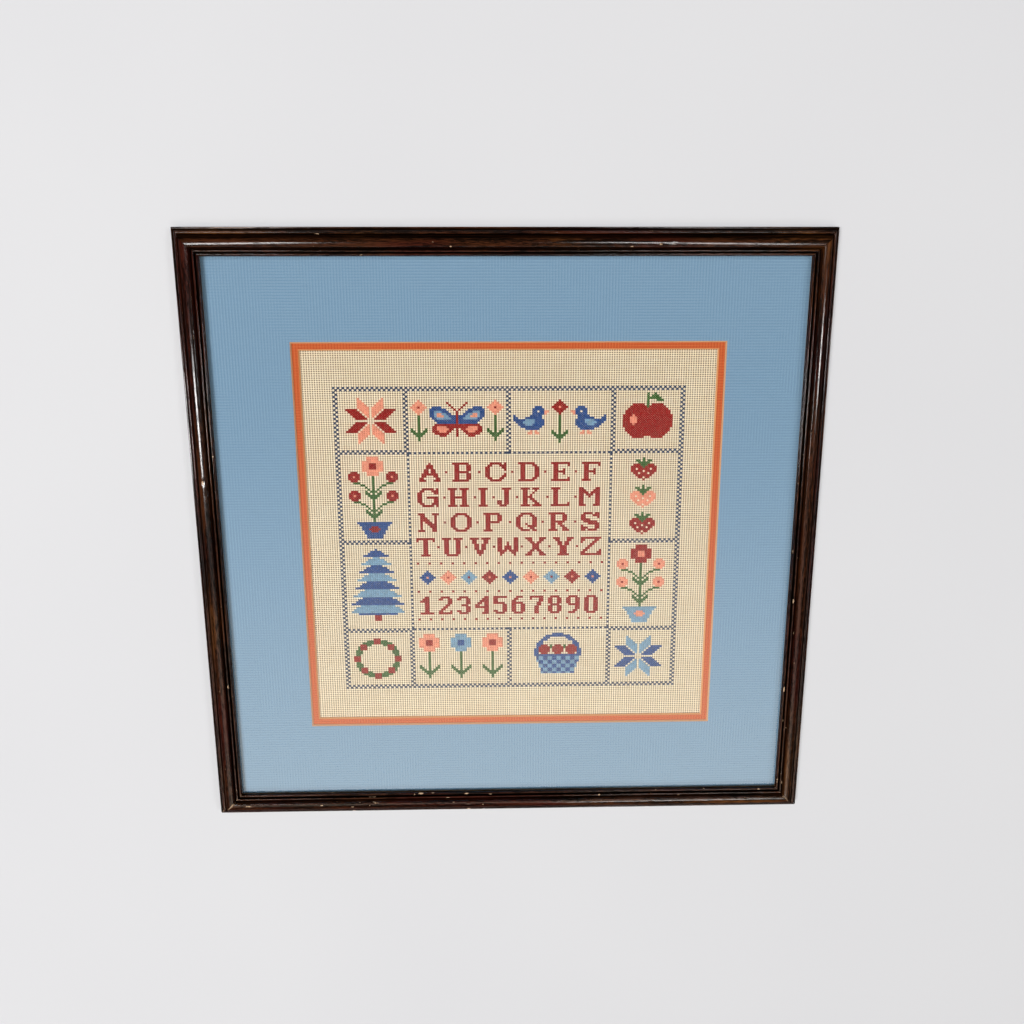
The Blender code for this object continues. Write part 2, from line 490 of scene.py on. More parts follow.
def make_chart():
    """The whole sampler as a square of thread letters, one for each stitch, with dots where there is none."""
    chart = np.full((CHART_SIZE, CHART_SIZE), ".", dtype="<U1")
    chart_lattice(chart)
    chart_panel(chart)
    chart_blocks(chart)
    return chart


# Materials


def new_material(name):
    """An empty node material."""
    material = bpy.data.materials.new(name)
    material.use_nodes = True
    material.node_tree.nodes.clear()
    return material


def add(tree, kind, inputs=None, **settings):
    """Adds a shader node. An input is given as a value or as another node's output."""
    node = tree.nodes.new("ShaderNode" + kind)
    for key, value in settings.items():
        setattr(node, key, value)
    for key, value in (inputs or {}).items():
        if isinstance(value, bpy.types.NodeSocket):
            tree.links.new(value, node.inputs[key])
        else:
            node.inputs[key].default_value = value
    return node


def maths(tree, operation, *values, clamp=False):
    """The result of a Math node."""
    return add(tree, "Math", dict(enumerate(values)), operation=operation, use_clamp=clamp).outputs[0]


def weighted(tree, *parts):
    """The sum of some values, each times its weight. A part is a (value, weight) pair."""
    total = maths(tree, "MULTIPLY", *parts[0])
    for value, weight in parts[1:]:
        total = maths(tree, "ADD", total, maths(tree, "MULTIPLY", value, weight))
    return total


def mixed(tree, share, first, second):
    """Two colours mixed: the first where share is 0 and the second where it is 1."""
    return add(tree, "Mix", {0: share, 6: first, 7: second}, data_type="RGBA").outputs[2]


def shaded(colour, factor, lift=0.0):
    """A linear colour made darker or lighter by a factor, with a little added."""
    return tuple(min(1.0, value * factor + lift) for value in colour[:3]) + (1,)


def between(tree, value, low, high, out_low=0.0, out_high=1.0):
    """value taken smoothly from the range low to high over to the range out_low to out_high."""
    inputs = {0: value, 1: low, 2: high, 3: out_low, 4: out_high}
    return add(tree, "MapRange", inputs, interpolation_type="SMOOTHSTEP").outputs[0]


def noise(tree, vector, scale, detail=2.0, roughness=0.5):
    """A noise value from 0 to 1."""
    inputs = {"Vector": vector, "Scale": scale, "Detail": detail, "Roughness": roughness}
    return add(tree, "TexNoise", inputs).outputs["Fac"]


def object_place(tree):
    """The point's place in its object's own axes."""
    return add(tree, "TexCoord").outputs["Object"]


def stretched(tree, vector, scale, shift=(0, 0, 0)):
    """The vector scaled by its own factor along each axis."""
    return add(tree, "Mapping", {"Vector": vector, "Scale": scale, "Location": shift}).outputs[0]


def attribute(tree, name):
    """The value of a named mesh attribute."""
    return add(tree, "Attribute", attribute_name=name).outputs["Fac"]


def bumped(tree, height, distance):
    """A normal pushed about by a height from 0 to 1 that stands for the distance."""
    return add(tree, "Bump", {"Height": height, "Distance": distance, "Strength": 1.0}).outputs[0]


def finish_surface(material, shader):
    """Links the shader to the material's output and gives the material back."""
    tree = material.node_tree
    output = tree.nodes.new("ShaderNodeOutputMaterial")
    tree.links.new(shader.outputs[0], output.inputs["Surface"])
    return material


def wood_material(name, offset):
    """Dark stained wood under a satin lacquer, worn pale along its edges, with its grain along local X, and
    painted shade in its hollows, on its fillet and on its hump's outer side.
    """
    material = new_material(name)
    tree = material.node_tree
    place = stretched(tree, object_place(tree), (1, 1, 1), (offset, offset * 2.3, 0))
    hollow_shade = attribute(tree, "hollow_shade")
    wear = attribute(tree, "wear")
    bare = attribute(tree, "bare")

    broad = noise(tree, stretched(tree, place, (14, 260, 260)), 1.0, 3.0, 0.55)
    fine = noise(tree, stretched(tree, place, (150, 1500, 1500)), 1.0, 4.0, 0.7)
    patches = noise(tree, stretched(tree, place, (9, 30, 30)), 1.0, 2.0, 0.5)
    grain = weighted(tree, (broad, 0.42), (fine, 0.58))

    streaky = between(tree, grain, 0.42, 0.61)
    reddish = mixed(tree, streaky, srgb(10, 3, 2), srgb(60, 21, 11))
    tawny = mixed(tree, streaky, srgb(12, 5, 2), srgb(64, 32, 14))
    golden = mixed(tree, streaky, srgb(24, 10, 3), srgb(98, 58, 24))
    stain = mixed(tree, between(tree, patches, 0.40, 0.54), reddish, tawny)
    stain = mixed(tree, between(tree, patches, 0.58, 0.72), stain, golden)
    # Painted shade: the stain is drawn towards near black where the section marks hollows, the fillet and the
    # hump's steep outer side.
    painted_shade = maths(tree, "POWER", between(tree, hollow_shade, 0.0, 0.95), 2.0)
    stain = mixed(tree, painted_shade, stain, srgb(5, 3, 2))

    spots = noise(tree, place, 620.0, 4.0, 0.65)
    streaks = noise(tree, stretched(tree, place, (140, 900, 900)), 1.0, 3.0, 0.6)
    ragged = weighted(tree, (spots, 0.55), (streaks, 0.45))
    worn = between(tree, weighted(tree, (wear, 0.62), (ragged, 1.0)), 0.88, 1.02)
    rubbed = between(tree, weighted(tree, (wear, 0.55), (ragged, 1.0)), 0.74, 1.00)
    stain = mixed(tree, maths(tree, "MULTIPLY", rubbed, 0.30), stain, srgb(112, 82, 58))
    stain = mixed(tree, worn, stain, srgb(190, 160, 130))

    raw = mixed(tree, between(tree, grain, 0.3, 0.7), srgb(150, 112, 76), srgb(196, 160, 118))
    colour = mixed(tree, bare, stain, raw)

    height = weighted(tree, (fine, 0.6), (worn, -0.6))
    matt = maths(tree, "MAXIMUM", worn, bare)
    lacquer = maths(tree, "SUBTRACT", 1.0, matt, clamp=True)
    lacquer = maths(tree, "MULTIPLY", lacquer, between(tree, fine, 0.36, 0.52, 0.2, 1.0))
    lacquer = maths(tree, "MULTIPLY", lacquer, between(tree, hollow_shade, 0.35, 0.75, 1.0, 0.0))
    rough = maths(tree, "ADD", 0.26, weighted(tree, (matt, 0.45), (streaks, 0.12)))
    shader = add(tree, "BsdfPrincipled", {
        "Base Color": colour,
        "Roughness": rough,
        "Specular IOR Level": 0.0,
        "Coat Weight": maths(tree, "MULTIPLY", lacquer, 0.75),
        "Coat Roughness": 0.12,
        "Normal": bumped(tree, height, 0.03 * MM),
    })
    return finish_surface(material, shader)


def glass_material():
    """Clear picture glass: it lets light through and mirrors a little of the room by its angle."""
    material = new_material("picture_glass")
    tree = material.node_tree
    fresnel = add(tree, "Fresnel", {"IOR": 1.5}).outputs[0]
    front = maths(tree, "SUBTRACT", 1.0, add(tree, "NewGeometry").outputs["Backfacing"])
    both_faces = maths(tree, "MULTIPLY", fresnel, 1.8)
    share = maths(tree, "MULTIPLY", both_faces, front, clamp=True)
    clear = add(tree, "BsdfTransparent", {"Color": (0.985, 0.99, 0.985, 1)})
    smudge = noise(tree, object_place(tree), 9.0, 3.0, 0.6)
    rough = between(tree, smudge, 0.45, 0.75, 0.01, 0.06)
    mirror = add(tree, "BsdfGlossy", {"Color": (1, 1, 1, 1), "Roughness": rough})
    shader = add(tree, "MixShader", {0: share, 1: clear.outputs[0], 2: mirror.outputs[0]})
    return finish_surface(material, shader)


def mat_material(name, dark, light, core):
    """Mat board with a fine linen emboss on its face and a pale core on its cut bevel."""
    material = new_material(name)
    tree = material.node_tree
    place = object_place(tree)
    x, y = add(tree, "SeparateXYZ", {0: place}).outputs[:2]
    waver = noise(tree, place, 40.0, 2.0)
    across = maths(tree, "SINE", weighted(tree, (x, 2 * math.pi / LINEN_PITCH_X), (waver, 0.8)))
    down = maths(tree, "SINE", weighted(tree, (y, 2 * math.pi / LINEN_PITCH_Y), (waver, 0.8)))
    lean = between(tree, noise(tree, place, 22.0, 2.0), 0.38, 0.62, 0.08, 0.34)
    linen = weighted(tree, (across, lean), (down, maths(tree, "SUBTRACT", 0.40, lean)))
    slub = noise(tree, stretched(tree, place, (160, 1400, 1400)), 1.0, 2.0, 0.6)
    fibre = noise(tree, place, 1600.0, 3.0, 0.7)
    tone = weighted(tree, (linen, 0.70), (slub, 0.30), (fibre, 0.25))
    face = mixed(tree, between(tree, tone, -0.12, 0.66), dark, light)

    flat = add(tree, "SeparateXYZ", {0: add(tree, "NewGeometry").outputs["Normal"]}).outputs[2]
    upright = between(tree, maths(tree, "ABSOLUTE", flat), 0.85, 0.95)
    core_tone = mixed(tree, between(tree, fibre, 0.3, 0.7), core, shaded(core, 1.2))
    colour = mixed(tree, upright, core_tone, face)
    shader = add(tree, "BsdfPrincipled", {
        "Base Color": colour,
        "Roughness": 0.92,
        "Specular IOR Level": 0.25,
        "Normal": bumped(tree, weighted(tree, (linen, 1.0), (fibre, 0.4)), 0.10 * MM),
    })
    return finish_surface(material, shader)


def from_whole(tree, value):
    """How far a value is from the nearest whole number, from 0 to 0.5."""
    part = maths(tree, "FRACT", maths(tree, "ADD", value, 0.5))
    return maths(tree, "ABSOLUTE", maths(tree, "SUBTRACT", part, 0.5))


def humps(tree, value, count):
    """Round humps from 0 to 1 along a value, so many to each whole step of it."""
    return maths(tree, "ABSOLUTE", maths(tree, "SINE", maths(tree, "MULTIPLY", value, count * math.pi)))


def cloth_material():
    """Cream block-weave cotton: bundles of threads crossing over and under, with a hole at each corner. The
    holes, the gaps between blocks and the threads' crowns are painted in light and shade.
    """
    material = new_material("block_weave_cotton")
    tree = material.node_tree
    place = object_place(tree)
    x, y = add(tree, "SeparateXYZ", {0: place}).outputs[:2]
    left, top = chart_corner()
    u = maths(tree, "DIVIDE", maths(tree, "SUBTRACT", x, left), PITCH_X)
    v = maths(tree, "DIVIDE", maths(tree, "SUBTRACT", y, top), PITCH_Y)
    near_u = from_whole(tree, u)
    near_v = from_whole(tree, v)
    corner = maths(tree, "SQRT", weighted(tree, (near_u, near_u), (near_v, near_v)))
    hole = between(tree, corner, 0.21, 0.37, 1.0, 0.0)
    gap = maths(tree, "MINIMUM", near_u, near_v)
    valley = between(tree, gap, 0.0, 0.16, 1.0, 0.0)

    warp = humps(tree, u, BLOCK_THREADS)
    weft = humps(tree, v, BLOCK_THREADS)
    half_u = maths(tree, "FLOOR", maths(tree, "MULTIPLY", u, 2))
    half_v = maths(tree, "FLOOR", maths(tree, "MULTIPLY", v, 2))
    over = maths(tree, "PINGPONG", maths(tree, "ADD", half_u, half_v), 1.0)
    weave = weighted(tree, (warp, over), (weft, maths(tree, "SUBTRACT", 1.0, over)))

    slub = noise(tree, stretched(tree, place, (60, 900, 1)), 1.0, 3.0, 0.6)
    slub_down = noise(tree, stretched(tree, place, (900, 60, 1)), 1.0, 3.0, 0.6)
    broad = noise(tree, place, 16.0, 2.0)
    # Tone: the weave's humps paint each thread lighter on its crown and darker between threads; the slubs and
    # the broad cloud are the cotton's own tone.
    tone = weighted(tree, (weave, 0.26), (slub, 0.42), (slub_down, 0.36), (broad, 0.12))
    colour = mixed(tree, between(tree, tone, 0.26, 0.86), srgb(219, 193, 157), srgb(253, 239, 213))
    # Painted shade: the gaps between blocks are darkened, and the holes are painted a deep brown for the
    # shaded board seen through them.
    colour = mixed(tree, maths(tree, "MULTIPLY", valley, 0.38), colour, srgb(172, 139, 104))
    colour = mixed(tree, maths(tree, "MULTIPLY", hole, 0.95), colour, srgb(78, 52, 34))
    height = weighted(tree, (weave, 1.0), (hole, -1.5))
    shader = add(tree, "BsdfPrincipled", {
        "Base Color": colour,
        "Roughness": 0.95,
        "Specular IOR Level": 0.2,
        "Sheen Weight": 0.05,
        "Normal": bumped(tree, height, 0.10 * MM),
    })
    return finish_surface(material, shader)


def thread_material(name, colour):
    """Stranded cotton in one dye, with a soft sheen; its two twisted plies are painted in light and shade."""
    material = new_material(name)
    tree = material.node_tree
    across = attribute(tree, "across")
    along = attribute(tree, "along")
    shade = attribute(tree, "shade")
    # Painted shade and highlight: each strand is darker at its sides and at the split between its plies and
    # lighter on their crowns, with the twist's ridges painted as light and dark stripes.
    ply = humps(tree, across, 2)
    lean = weighted(tree, (along, 26.0), (across, 9.0))
    twist = maths(tree, "ADD", 0.5, maths(tree, "MULTIPLY", maths(tree, "SINE", lean), 0.5))
    body = weighted(tree, (ply, 0.55), (twist, 0.25))
    lit = weighted(tree, (body, 1.0), (shade, 0.35))
    # dark and light are shaded and lit copies of the dye, mixed by that painted shading and by each stitch's
    # own random tone.
    dark = shaded(colour, 0.62)
    light = shaded(colour, 1.22, 0.002)
    shader = add(tree, "BsdfPrincipled", {
        "Base Color": mixed(tree, between(tree, lit, 0.1, 1.1), dark, light),
        "Roughness": 0.62,
        "Specular IOR Level": 0.22,
        "Sheen Weight": 0.03,
        "Sheen Roughness": 0.4,
        "Normal": bumped(tree, body, 0.12 * MM),
    })
    return finish_surface(material, shader)


def board_material():
    """Plain grey-brown board with short fibres and a few dark flecks."""
    material = new_material("fibre_board")
    tree = material.node_tree
    place = object_place(tree)
    fibre = noise(tree, stretched(tree, place, (240, 900, 900)), 1.0, 4.0, 0.65)
    cloud = noise(tree, place, 22.0, 3.0)
    fleck = between(tree, noise(tree, place, 700.0, 2.0, 0.7), 0.68, 0.74)
    tone = weighted(tree, (fibre, 0.7), (cloud, 0.3))
    colour = mixed(tree, between(tree, tone, 0.35, 0.65), srgb(138, 124, 104), srgb(178, 163, 140))
    colour = mixed(tree, maths(tree, "MULTIPLY", fleck, 0.6), colour, srgb(92, 78, 62))
    shader = add(tree, "BsdfPrincipled", {
        "Base Color": colour,
        "Roughness": 0.9,
        "Normal": bumped(tree, fibre, 0.10 * MM),
    })
    return finish_surface(material, shader)


def floor_material():
    """Plain pale studio paper."""
    material = new_material("pale_floor")
    tree = material.node_tree
    cloud = noise(tree, object_place(tree), 3.0, 2.0)
    colour = mixed(tree, cloud, srgb(195, 195, 198), srgb(201, 201, 203))
    shader = add(tree, "BsdfPrincipled", {"Base Color": colour, "Roughness": 0.85, "Specular IOR Level": 0.2})
    return finish_surface(material, shader)


# Frame rails


def arc(inset, level, radius, start, end, steps):
    """Points on an arc about (inset, level), from start to end degrees: 180 is the outer side, 90 the top."""
    angles = [math.radians(start + (end - start) * i / steps) for i in range(steps + 1)]
    return [(inset + radius * math.cos(a), level + radius * math.sin(a)) for a in angles]


def full_curve(start, end, fullness, steps):
    """Points on a curve that leaves start upright and meets end level. 2 is an ellipse, more is squarer."""
    points = []
    for i in range(steps + 1):
        angle = math.pi / 2 * i / steps
        inset = end[0] - (end[0] - start[0]) * math.cos(angle) ** (2 / fullness)
        level = start[1] + (end[1] - start[1]) * math.sin(angle) ** (2 / fullness)
        points.append((inset, level))
    return points


def straight(start, end, steps):
    """Points between two ends, without the ends."""
    shares = [i / steps for i in range(1, steps)]
    return [(start[0] + (end[0] - start[0]) * s, start[1] + (end[1] - start[1]) * s) for s in shares]


def moulding_profile():
    """The moulding's section in small steps, as (inset, level, groove, edge, bare) rows, outer side first.

    The third value is painted shade, strongest in the hollows and on the fillet and the hump's steep outer
    side, where it also dulls the lacquer; edge is how much it rubs, and bare 1 where there is no stain.
    """
    lip_inset = MOULDING_WIDTH - LIP_RADIUS
    bead_end = OUTER_BEAD_INSET + OUTER_BEAD_RADIUS
    reed_start = REED_INSET - REED_RADIUS
    reed_end = REED_INSET + REED_RADIUS
    crest_arc = arc(CREST_INSET, FRAME_DEPTH - CREST_RADIUS, CREST_RADIUS, 90, 0, 8)
    hollow = OUTER_BEAD_LEVEL - GROOVE_DEPTH * 2
    side_foot = (0.0, BACK_CHAMFER)
    side_top = (0.0, FILLET_HEIGHT - EDGE_ROUND)

    rows = []

    def stretch(points, hollow_shade, edge, bare=0.0):
        for point in points:
            rows.append((*point, hollow_shade, edge, bare))

    stretch([(0.0, 0.0)], 0.2, 0.5, 1.0)
    stretch([side_foot], 0.2, 0.6)
    stretch(straight(side_foot, side_top, 7), 0.25, 0.1)
    stretch(arc(EDGE_ROUND, FILLET_HEIGHT - EDGE_ROUND, EDGE_ROUND, 180, 90, 5), 0.35, 0.8)
    stretch([(inset, FILLET_HEIGHT) for inset in FILLET_STEPS], 0.75, 0.1)
    stretch([(FILLET_WIDTH, FILLET_HEIGHT)], 1.0, 0.0)
    bead = arc(OUTER_BEAD_INSET, OUTER_BEAD_LEVEL, OUTER_BEAD_RADIUS, 180, -10, 13)
    stretch(bead[:3], 0.9, 0.1)
    stretch(bead[3:10], 0.35, 0.8)
    stretch(bead[10:], 0.95, 0.1)
    stretch([(bead_end, hollow), (bead_end + GROOVE_DEPTH, hollow)], 1.0, 0.0)
    hump = full_curve((HUMP_INSET, HUMP_LEVEL), crest_arc[0], HUMP_FULLNESS, 24)
    # Painted shade: strong on the hump's steep outer side and lower slope, fading to none near its top.
    stretch(hump[:2], 0.9, 0.1)
    stretch(hump[2:16], 0.75, 0.1)
    stretch(hump[16:18], 0.5, 0.2)
    stretch(hump[18:20], 0.25, 0.2)
    stretch(hump[20:-3], 0.0, 0.2)
    stretch(hump[-3:-1], 0.0, 0.35)
    stretch(crest_arc, 0.1, 0.9)
    fall = (reed_start - GROOVE_DEPTH, REED_LEVEL - GROOVE_DEPTH)
    stretch(straight(crest_arc[-1], fall, 3), 0.6, 0.1)
    stretch([fall, (reed_start, REED_LEVEL - GROOVE_DEPTH)], 1.0, 0.0)
    reed = arc(REED_INSET, REED_LEVEL, REED_RADIUS, 180, 0, 11)
    stretch(reed[:3], 0.95, 0.0)
    stretch(reed[3:9], 0.35, 0.5)
    stretch(reed[9:], 0.95, 0.0)
    stretch([(reed_end, LIP_LEVEL + GROOVE_DEPTH)], 1.0, 0.0)
    lip = arc(lip_inset, LIP_LEVEL, LIP_RADIUS, 150, 0, 7)
    stretch(lip[:2], 0.9, 0.0)
    stretch(lip[2:], 0.35, 0.5)
    stretch([(MOULDING_WIDTH, REBATE_DEPTH + LIP_DROP)], 0.9, 0.0)
    rebate = [(MOULDING_WIDTH, REBATE_DEPTH), (REBATE_INSET, REBATE_DEPTH), (REBATE_INSET, 0.0)]
    stretch(rebate, 0.0, 0.0, 1.0)
    return np.array(rows)


def outward(points):
    """Unit normals of a closed section that runs clockwise."""
    ahead = np.roll(points, -1, axis=0) - np.roll(points, 1, axis=0)
    normals = np.stack([-ahead[:, 1], ahead[:, 0]], axis=1)
    return normals / np.linalg.norm(normals, axis=1, keepdims=True)


def mesh_object(name, vertices, faces, material, smooth=True):
    """A mesh object from arrays of vertices and faces."""
    mesh = bpy.data.meshes.new(name)
    mesh.from_pydata([tuple(v) for v in vertices], [], [tuple(f) for f in faces])
    mesh.update()
    mesh.materials.append(material)
    if smooth:
        mesh.shade_smooth()
    item = bpy.data.objects.new(name, mesh)
    bpy.context.scene.collection.objects.link(item)
    return item


def set_values(item, name, values):
    """Stores one number for each vertex, for the material to read."""
    layer = item.data.attributes.new(name, "FLOAT", "POINT")
    layer.data.foreach_set("value", np.asarray(values, dtype=np.float32).ravel())


def patchy(rng, count, spacing):
    """A slowly changing random line from 0 to 1, one value for each station."""
    knots = rng.random(count // spacing + 3)
    return np.interp(np.arange(count), np.arange(len(knots)) * spacing, knots)


def chip_marks(rng, x, run, edge_runs, hump_runs, chips, chipped_part):
    """The depth and the wear of many small chips, at each point of a rail."""
    dent = np.zeros_like(x)
    wear = np.zeros_like(x)
    for _ in range(chips):
        middle_x = rng.uniform(*chipped_part)
        if rng.random() < EDGE_CHIP_SHARE:
            middle_run = rng.choice(edge_runs) + rng.normal(0, EDGE_CHIP_STRAY)
        else:
            middle_run = rng.uniform(hump_runs[0] - MM, hump_runs[-1])
        long = rng.uniform(*CHIP_LENGTH)
        wide = rng.uniform(*CHIP_WIDTH)
        depth = rng.uniform(*CHIP_DEPTH)
        far = ((x - middle_x) / long) ** 2 + ((run - middle_run) / wide) ** 2
        bite = np.clip(1 - far, 0, 1)
        dent = np.maximum(dent, depth * bite)
        wear = np.maximum(wear, rng.uniform(*CHIP_WEAR) * np.clip(1.6 * bite, 0, 1))
    return dent, wear


def mitre_wear(from_mitre, hollow_shade, edge):
    """Wear by a corner: a pale line along the joint, and edges rubbed near it."""
    line = np.clip(1.5 - from_mitre / MITRE_LINE, 0, 0.85) * (1 - 0.6 * hollow_shade)
    rub = np.clip(1 - from_mitre / CORNER_RUB, 0, 1) * (0.15 + 0.5 * edge)
    return np.maximum(line, rub)


def rail_faces(stations, count):
    """Quads between a rail's sections, each of count points, and a cap at both ends."""
    faces = []
    for near in range(0, (stations - 1) * count, count):
        for i in range(count):
            following = (i + 1) % count
            faces.append((near + i, near + following, near + count + following, near + count + i))
    faces.append(range(count))
    faces.append(range((stations - 1) * count, stations * count))
    return faces


def make_rail(node, length, outer_side, turn, seed, chips, chipped_part, corner_wear):
    """One length of moulding with chips and rubbed edges. It replaces the plain CAD rail."""
    rng = np.random.default_rng(seed)
    section = moulding_profile()
    points = section[:, :2]
    inset, level, hollow_shade, edge, bare = section.T
    normals = outward(points)
    run = np.concatenate([[0.0], np.cumsum(np.linalg.norm(np.diff(points, axis=0), axis=1))])

    near_mitre = 1 - STATIONS_BY_MITRE / (length / 2)
    shares = np.sort(np.concatenate([np.linspace(-1, 1, RAIL_STATIONS), near_mitre, -near_mitre]))
    reach = length / 2 - inset - MITRE_GAP / math.sqrt(2)
    x = shares[:, None] * reach

    wear = edge * (0.10 + 0.50 * patchy(rng, len(shares), WEAR_PATCH)[:, None] ** 2)
    part = np.array(chipped_part) * length
    dent, chipped = chip_marks(rng, x, run, run[edge > 0.4], run[hollow_shade < 0.2], chips, part)
    wear = np.maximum(wear, chipped)
    for side, amount in zip((-1, 1), corner_wear):
        wear = np.maximum(wear, amount * mitre_wear(reach - side * x, hollow_shade, edge))
    wear *= 1 - bare

    y = normals[:, 0] * dent - inset
    z = level - normals[:, 1] * dent
    vertices = np.stack([x, y, z], axis=2).reshape(-1, 3)
    faces = rail_faces(len(shares), len(points))
    rail = mesh_object(node + "_wood", vertices, faces, wood_material(node + "_stain", seed * 1.7))
    face_outwards(rail)
    rail.data.set_sharp_from_angle(angle=math.radians(SMOOTH_ANGLE))
    set_values(rail, "wear", wear)
    set_values(rail, "hollow_shade", np.broadcast_to(hollow_shade, wear.shape))
    set_values(rail, "bare", np.broadcast_to(bare, wear.shape))
    rail.location = outer_side
    rail.rotation_euler = (0, 0, math.radians(turn))
    bpy.context.view_layer.update()
    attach(rail, "root")
    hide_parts(node)


def face_outwards(item):
    """Turns all faces of a closed mesh outwards."""
    mesh = bmesh.new()
    mesh.from_mesh(item.data)
    bmesh.ops.recalc_face_normals(mesh, faces=mesh.faces)
    mesh.to_mesh(item.data)
    mesh.free()


def make_rails():
    """The four rails. The bottom one and its corners are the most worn."""
    half_width = FRAME_WIDTH / 2
    half_height = FRAME_HEIGHT / 2
    make_rail("rail_top", FRAME_WIDTH, (0, half_height, 0), turn=0, seed=11,
              chips=26, chipped_part=(-0.3, 0.3), corner_wear=(0.15, 0.15))
    make_rail("rail_left", FRAME_HEIGHT, (-half_width, 0, 0), turn=90, seed=12,
              chips=46, chipped_part=(-0.49, 0.2), corner_wear=(1.0, 0.15))
    make_rail("rail_bottom", FRAME_WIDTH, (0, -half_height, 0), turn=180, seed=13,
              chips=120, chipped_part=(-0.49, 0.49), corner_wear=(0.9, 1.0))
    make_rail("rail_right", FRAME_HEIGHT, (half_width, 0, 0), turn=-90, seed=14,
              chips=64, chipped_part=(-0.2, 0.49), corner_wear=(0.15, 0.9))


# Cloth and stitches


def chart_corner():
    """Where the top left corner of the chart lies on the cloth."""
    left = DESIGN_X - CHART_SIZE * PITCH_X / 2
    top = DESIGN_Y + CHART_SIZE * PITCH_Y / 2
    return left, top


def rim(rows, columns):
    """The holes round the edge: down the left side, along the foot, up the right and along the top."""
    wide = columns + 1
    around = [row * wide for row in range(rows)]
    around += [rows * wide + column for column in range(columns)]
    around += [row * wide + columns for row in range(rows, 0, -1)]
    around += range(columns, 0, -1)
    return around


def make_cloth():
    """The cotton: a closed sheet with a raised block for each stitch and a dip at each hole."""
    low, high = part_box("cloth")
    left, top = chart_corner()
    columns = CHART_SIZE + CELLS_LEFT + CELLS_RIGHT
    rows = CHART_SIZE + CELLS_UP + CELLS_DOWN
    xs = left + (np.arange(columns + 1) - CELLS_LEFT) * PITCH_X
    ys = top + (CELLS_UP - np.arange(rows + 1)) * PITCH_Y

    hole_x, hole_y = np.meshgrid(xs, ys)
    holes = np.stack([hole_x, hole_y, np.full_like(hole_x, high[2] - HOLE_DIP)], axis=2).reshape(-1, 3)
    block_x, block_y = np.meshgrid((xs[:-1] + xs[1:]) / 2, (ys[:-1] + ys[1:]) / 2)
    blocks = np.stack([block_x, block_y, np.full_like(block_x, high[2] + BLOCK_RISE)], axis=2).reshape(-1, 3)
    wide = columns + 1

    faces = []
    for row in range(rows):
        for column in range(columns):
            corner = row * wide + column
            ring = (corner, corner + wide, corner + wide + 1, corner + 1)
            middle = len(holes) + row * columns + column
            for i in range(4):
                faces.append((ring[i], ring[(i + 1) % 4], middle))

    # From the last holes out to the sheet's edge, down it, and across the back
    around = rim(rows, columns)
    edge = []
    middle_x = (xs[0] + xs[-1]) / 2
    middle_y = (ys[0] + ys[-1]) / 2
    for index in around:
        x, y = holes[index][:2]
        share_x = (x - middle_x) / (xs[-1] - middle_x)
        share_y = (y - middle_y) / (ys[0] - middle_y)
        edge.append((share_x * high[0], share_y * high[1]))
    upper = len(holes) + len(blocks)
    lower = upper + len(edge)
    vertices = np.vstack([
        holes,
        blocks,
        [(x, y, high[2] - HOLE_DIP / 2) for x, y in edge],
        [(x, y, low[2]) for x, y in edge],
    ])
    count = len(around)
    for i in range(count):
        following = (i + 1) % count
        faces.append((around[following], around[i], upper + i, upper + following))
        faces.append((upper + following, upper + i, lower + i, lower + following))
    faces.append(tuple(lower + i for i in range(count)))

    cloth = mesh_object("cloth_weave", vertices, faces, cloth_material())
    face_outwards(cloth)
    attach(cloth, "root")
    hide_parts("cloth")
    return cloth


def leg_vertices(starts, ends, rise, rng):
    """Vertices of many thread legs at once, each arching from a start to an end: legs, stations, section."""
    steps = ends - starts
    lengths = np.linalg.norm(steps, axis=1, keepdims=True)
    ahead = steps / lengths
    sideways = np.stack([-ahead[:, 1], ahead[:, 0]], axis=1)
    widths = STRAND_WIDTH / 2 * rng.uniform(0.93, 1.07, len(starts))
    heights = STRAND_HEIGHT * rng.uniform(0.94, 1.06, len(starts))

    along = LEG_ALONG[:, None]
    offset = widths[:, None, None] * LEG_WIDTH[:, None] * np.cos(SECTION_ANGLES)
    x = starts[:, 0, None, None] + steps[:, 0, None, None] * along + sideways[:, 0, None, None] * offset
    y = starts[:, 1, None, None] + steps[:, 1, None, None] * along + sideways[:, 1, None, None] * offset
    lift = LEG_LIFT + rise * np.sin(np.pi * LEG_ALONG)
    z = lift[:, None] + heights[:, None, None] * LEG_HEIGHT[:, None] * np.sin(SECTION_ANGLES)
    return np.stack([x, y, z], axis=3)


def leg_faces(legs):
    """Quads for that many legs, each a row of stations with the section's points at each."""
    stations = len(LEG_ALONG)
    points = len(SECTION_ANGLES)
    quads = []
    for station in range(stations - 1):
        for side in range(points - 1):
            first = station * points + side
            quads.append((first, first + points, first + points + 1, first + 1))
    return (np.arange(legs)[:, None, None] * stations * points + np.array(quads)).reshape(-1, 4)


